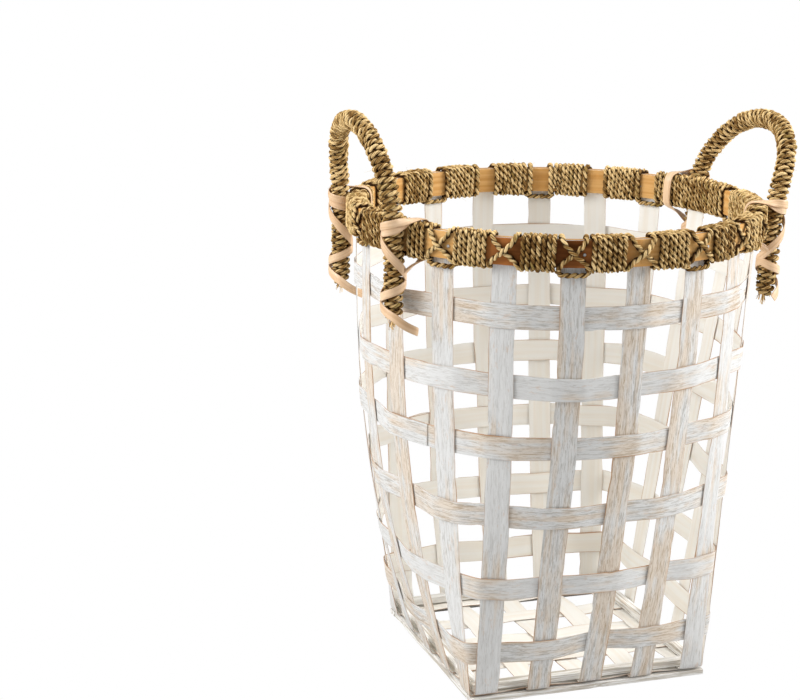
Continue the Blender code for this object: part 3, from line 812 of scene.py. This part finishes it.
def add_stake_loop(skin, stake, rng):
    """Twine tied round a stake just under the hoops."""
    _, outer, low, _ = rim_box()
    middle = stake * STAKE_STEP
    out = polar(middle, 1.0, 0.0)
    across = polar(middle + math.pi / 2, 1.0, 0.0)
    centre = polar(middle, outer - 0.0050, low - 0.0054)
    half_width, half_depth = 0.0126, 0.0036
    rows = []
    for angle in np.radians(np.arange(180, 540, 12)):
        u, v = math.sin(angle), math.cos(angle)
        wide, deep = math.copysign(abs(u) ** 0.5, u), math.copysign(abs(v) ** 0.6, v)
        point = centre + across * half_width * wide + out * half_depth * deep
        point[2] += 0.0022 * abs(u) ** 6 - 0.0005 * v
        rows.append(np.concatenate([point, unit(across * u * 0.4 + out * v)]))
    path = smooth_path(np.array(rows), 0.0012, TWINE_STEP, closed=True)
    add_twine(skin, path, rng, closed=True, size=LOOP_TWINE, tone=rng.uniform(0.3, 0.6))


def make_rim_twine(material):
    """Makes the four lengths of twine, each from the stake beside one handle leg to the next."""
    spans = (("front", -4, 4), ("right", 4, 6), ("back", 6, 14), ("left", 14, 16))
    for name, first, last in spans:
        rng = np.random.default_rng(500 + first)
        skin = Skin()
        for stake in range(first, last):
            add_sleeve(skin, patch_of(stake)[1], patch_of(stake + 1)[0], rng)
        for stake in range(first + 1, last):
            add_cross(skin, stake, rng)
            if stake % 2:
                add_stake_loop(skin, stake, rng)
        add_arcs(skin, patch_of(last)[0] + LEG_HALF, rng)
        skin.piece(f"rim_twine_{name}_surface", material, [f"rim_twine_{name}"])


# Handles.


def handle_line(name):
    """The middle line of a handle from its front foot over the arch to its back foot."""
    points = corners(f"{name}_handle_core")
    height = points[:, 2].min() + ARCH_MIDDLE
    around = np.arctan2(points[:, 2] - height, -points[:, 1])
    around = np.where(around < -math.pi / 2, around + math.tau, around)
    ranked = np.argsort(around)
    groups = np.split(points[ranked], np.flatnonzero(np.diff(around[ranked]) > math.radians(2)) + 1)
    return np.array([group.mean(0) for group in groups if len(group) == CORE_CORNERS])


def along_line(line, distance):
    """A point, and two directions square to the line and to each other, at each distance along a line."""
    lengths = np.concatenate([[0], np.cumsum(np.linalg.norm(np.diff(line, axis=0), axis=1))])
    point = np.stack([np.interp(distance, lengths, column) for column in line.T], -1)
    slope = directions(line)
    forward = unit(np.stack([np.interp(distance, lengths, column) for column in slope.T], -1))
    across = unit(np.cross(forward, np.array((1.0, 0.0, 0.0))))
    return point, across, np.cross(across, forward)


def line_length(line):
    return np.linalg.norm(np.diff(line, axis=0), axis=1).sum()


def make_handle(name, twine, wood):
    """Makes a handle's winding and core, and returns its middle line."""
    core, winding = f"{name}_handle_core", f"{name}_handle_winding"
    rng = np.random.default_rng(600 + len(name))
    line = smooth_path(handle_line(name), 0.005, 0.001)
    line[:, 2] = np.clip(line[:, 2], box(core)[0, 2], None)
    length = line_length(line)

    low, high = box(winding)[:, 1]
    radius = (high - low) / 2 - max(abs(line[0, 1]), abs(line[-1, 1]))
    turns = round(length / HANDLE_PITCH)
    half = TWINE_HALF * HANDLE_TWINE
    count = int(turns * math.tau * (radius - half) / TWINE_STEP)
    distance = np.linspace(0.001, length - 0.001, count)
    angle = math.tau * turns * distance / length
    walk = np.arange(count) * TWINE_STEP
    distance = np.clip(distance + 0.0005 * wander(rng, walk, 0.05), 0, length)
    point, across, out = along_line(line, distance)
    taper = ease(np.minimum(distance, length - distance) / 0.008)
    reach = (radius - half) * (0.55 + 0.45 * taper) + 0.0003 * wander(rng, walk, 0.025)
    normal = np.cos(angle)[:, None] * across + np.sin(angle)[:, None] * out
    path = resample(np.hstack([point + normal * reach[:, None], normal]), TWINE_STEP)
    skin = Skin()
    add_twine(skin, path, rng, size=HANDLE_TWINE)
    add_hairs(skin, path, rng, 60, 0.004)
    for end in (0, -1):
        add_tuft(skin, line[end], rng)
    skin.piece(f"{winding}_surface", twine, [winding])

    skin = Skin()
    sides = np.arange(CORE_SIDES) * math.tau / CORE_SIDES
    walk = np.linspace(0.001, length - 0.001, round(length / CORE_STEP))
    point, across, out = along_line(line, walk)
    ring = np.cos(sides)[None, :, None] * across[:, None] + np.sin(sides)[None, :, None] * out[:, None]
    straight = np.zeros(ring.shape)
    straight[..., 0] = np.cos(sides) * CORE_RADIUS
    straight[..., 1] = np.sin(sides) * CORE_RADIUS
    straight[..., 2] = walk[:, None]
    skin.sweep(point[:, None] + ring * CORE_RADIUS, straight, np.array((1.0, 0.0, 0.0)))
    skin.piece(f"{core}_surface", wood, [core])
    return line


def add_tuft(skin, foot, rng):
    """Cut fibres that hang from the end of a handle's winding."""
    steps = np.linspace(0, 1, 6)[:, None]
    sides = np.arange(FIBRE_SIDES) * math.tau / FIBRE_SIDES
    for _ in range(26):
        angle, reach = rng.uniform(0, math.tau), rng.uniform(0, 0.0045)
        start = foot + np.array((math.cos(angle) * reach, math.sin(angle) * reach, 0.003))
        swing = rng.normal(size=3) * 0.0016
        length = rng.uniform(0.004, 0.011)
        middle = start - UP * steps * length + swing * steps ** 2
        radius = rng.uniform(0.0003, 0.0008) * (1 - 0.5 * steps[:, :, None])
        ring = np.stack([np.cos(sides), np.sin(sides), np.zeros(FIBRE_SIDES)], -1)
        straight, marks = np.array((0, 0, angle)), np.array((1.0, 0.0, rng.uniform(0.3, 0.9)))
        skin.sweep(middle[:, None] + ring[None] * radius, straight, marks)


# Cane lashings.


def leg_frame(line, end):
    """A leg's middle at each height, with its directions out from the basket and away from the handle."""
    leg = line[:LEG_ROWS] if end == -1 else line[::-1][:LEG_ROWS]
    x, y = crossing(leg)
    azimuth = math.atan2(x, -y)
    outward = polar(azimuth, 1.0, 0.0)
    away = np.cross(UP, outward)
    away = away * math.copysign(1, away[1] * end)
    return leg, outward, away


def on_leg(leg, outward, away, angle, height, reach):
    """Strip rows round a leg: an angle of 0 faces out from the basket, and 90 degrees faces away."""
    middle = np.stack([np.interp(height, leg[:, 2], column) for column in leg.T], -1)
    middle[:, 2] = height
    direction = np.cos(angle)[:, None] * outward + np.sin(angle)[:, None] * away
    return middle + direction * reach, direction


def add_cane(skin, points, normals, rng):
    """A cane strip through points, with its face turned along normals."""
    path = smooth_path(np.hstack([points, normals]), 0.0022, CANE_STEP)
    along = directions(path[:, :3])
    sideways = unit(np.cross(unit(path[:, 3:]), along))
    path = np.hstack([path[:, :3], sideways])
    add_strip(skin, path, CANE_WIDTH, CANE_THICK, rng, relief=0.00003, rounding=0.5, wave=0.00008,
              crown=0.00025, points=9, step=CANE_STEP)


def make_lashing(name, place, line, material):
    """Two strips side by side tie a leg over the rim, and a third zigzags down the leg to a loose tail."""
    end = -1 if place == "front" else 1
    node = f"{name}_{place}_lashing"
    rng = np.random.default_rng(700 + len(name) + end)
    inner, _, low, high = rim_box()
    leg, outward, away = leg_frame(line, end)
    at_rim = np.append(crossing(leg), 0)
    inside = inner - 2 * TWINE_HALF - 0.0008 - np.linalg.norm(at_rim)
    top = high + 2 * TWINE_HALF + 0.0008

    skin = Skin()
    for lane in (0, 1):
        shift, drop = 0.0015 * lane, 0.0055 * lane
        # Distance beside the leg, distance out from its middle, height, and the way the strip faces: from the
        # leg, in under the rim, up the inside and back over the top.
        rows = (
            (0.0084, -0.0030, low - 0.0160 - shift, away - UP),
            (0.0116, -0.0100, low - 0.0090 - shift, away - 2 * UP),
            (0.0145 - shift, 0.7 * inside, low - 0.0062, -UP),
            (0.0145 - shift, inside, low - 0.001, -outward),
            (0.0140 - shift, inside - 0.0006, (low + high) / 2, -outward),
            (0.0135 - shift, inside, high, -outward),
            (0.0130 - shift, inside + 0.003, top - 0.0004, UP - outward),
            (0.0125 - shift, inside / 2 - 0.004, top + 0.0004, UP),
            (0.0115 - shift, -0.0065, top - 0.0002, UP + 0.4 * away),
        )
        points = [at_rim + away * beside + outward * out + UP * height for beside, out, height, _ in rows]
        normals = [unit(facing) for *_, facing in rows]
        angle = np.radians(np.linspace(62, -150, 14))
        height = np.linspace(top - 0.0015, top - 0.010, 14) - drop
        wrap, facing = on_leg(leg, outward, away, angle, height, CANE_REACH + 0.0006 * (1 - lane))
        add_cane(skin, np.vstack([points, wrap]), np.vstack([normals, facing]), rng)

    angle = np.linspace(ZIGZAG[0][0], CANE_END[name], 110)
    height = low + np.interp(angle, *zip(*ZIGZAG))
    tail = 0.011 * ease((angle - 760) / 120)
    angle = angle - 40 if end == -1 else -angle
    reach = CANE_REACH + 0.0004 + tail[:, None]
    wrap, facing = on_leg(leg, outward, away, np.radians(angle), height, reach)
    add_cane(skin, wrap, facing, rng)
    skin.piece(f"{node}_surface", material, [node], 60)


# Setting.


def make_stage():
    """A grey floor that the camera sees as white, an even white world and three soft lamps."""
    nodes = Nodes("stage_white")
    material = nodes.finish((0.56, 0.56, 0.56, 1), 0.9)
    sight = nodes.add("LightPath").outputs["Is Camera Ray"]
    white = nodes.add("Emission").outputs[0]
    seen = nodes.add("MixShader", {0: sight, 1: nodes.shader.outputs[0], 2: white}).outputs[0]
    nodes.set(nodes.tree.nodes["Material Output"].inputs["Surface"], seen)
    bpy.ops.mesh.primitive_plane_add(size=14)
    floor = bpy.context.object
    floor.name = "floor"
    floor.data.materials.append(material)

    world = bpy.data.worlds.new("studio")
    bpy.context.scene.world = world
    world.use_nodes = True
    tree = world.node_tree
    glow = tree.nodes["Background"]
    glow.inputs["Color"].default_value = (1.0, 1.0, 1.0, 1.0)
    seen = tree.nodes.new("ShaderNodeLightPath")
    level = tree.nodes.new("ShaderNodeMapRange")
    level.inputs["To Min"].default_value = WORLD_LIGHT
    level.inputs["To Max"].default_value = 1.0
    tree.links.new(seen.outputs["Is Camera Ray"], level.inputs["Value"])
    tree.links.new(level.outputs["Result"], glow.inputs["Strength"])

    for name, place, size, power in LAMPS:
        lamp = bpy.data.objects.new(name, bpy.data.lights.new(name, "AREA"))
        lamp.data.size = size
        lamp.data.energy = power
        lamp.location = AIM + Vector(place)
        lamp.rotation_euler = (-Vector(place)).to_track_quat("-Z", "Y").to_euler()
        bpy.context.scene.collection.objects.link(lamp)
    bpy.context.scene.view_settings.view_transform = "Standard"


def make_camera():
    """Looks from the front left, a little above, with the basket right of and below the middle."""
    azimuth, elevation = math.radians(-23.18), math.radians(16.68)
    yaw, pitch, roll = (math.radians(angle) for angle in (4.33, 2.175, 0.79))
    back = Vector(polar(azimuth, math.cos(elevation), math.sin(elevation)))
    forward = Matrix.Rotation(yaw, 3, "Z") @ -back
    right = forward.cross(Vector((0, 0, 1))).normalized()
    forward = Matrix.Rotation(pitch, 3, right) @ forward
    right = Matrix.Rotation(-roll, 3, forward) @ right
    camera = bpy.data.objects.new("camera", bpy.data.cameras.new("camera"))
    camera.data.lens = 92.5
    camera.data.sensor_width = 36
    camera.location = AIM + back * 1.8234
    camera.rotation_mode = "QUATERNION"
    camera.rotation_quaternion = Matrix((right, right.cross(forward), -forward)).transposed().to_quaternion()
    bpy.context.scene.collection.objects.link(camera)
    bpy.context.scene.camera = camera


def main():
    whitewash, twine, wood, cane = whitewash_material(), twine_material(), hoop_material(), cane_material()
    make_weavers(make_splints(whitewash), whitewash)
    make_slats(slat_material())
    make_hoops(wood)
    make_rim_twine(twine)
    for name in ("left", "right"):
        line = make_handle(name, twine, wood)
        for place in ("front", "back"):
            make_lashing(name, place, line, cane)
    steel = steel_material()
    for node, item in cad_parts.items():
        if node.startswith(("rim_brad", "base_nail")):
            item.data.materials.clear()
            item.data.materials.append(steel)
    make_stage()
    make_camera()


main()
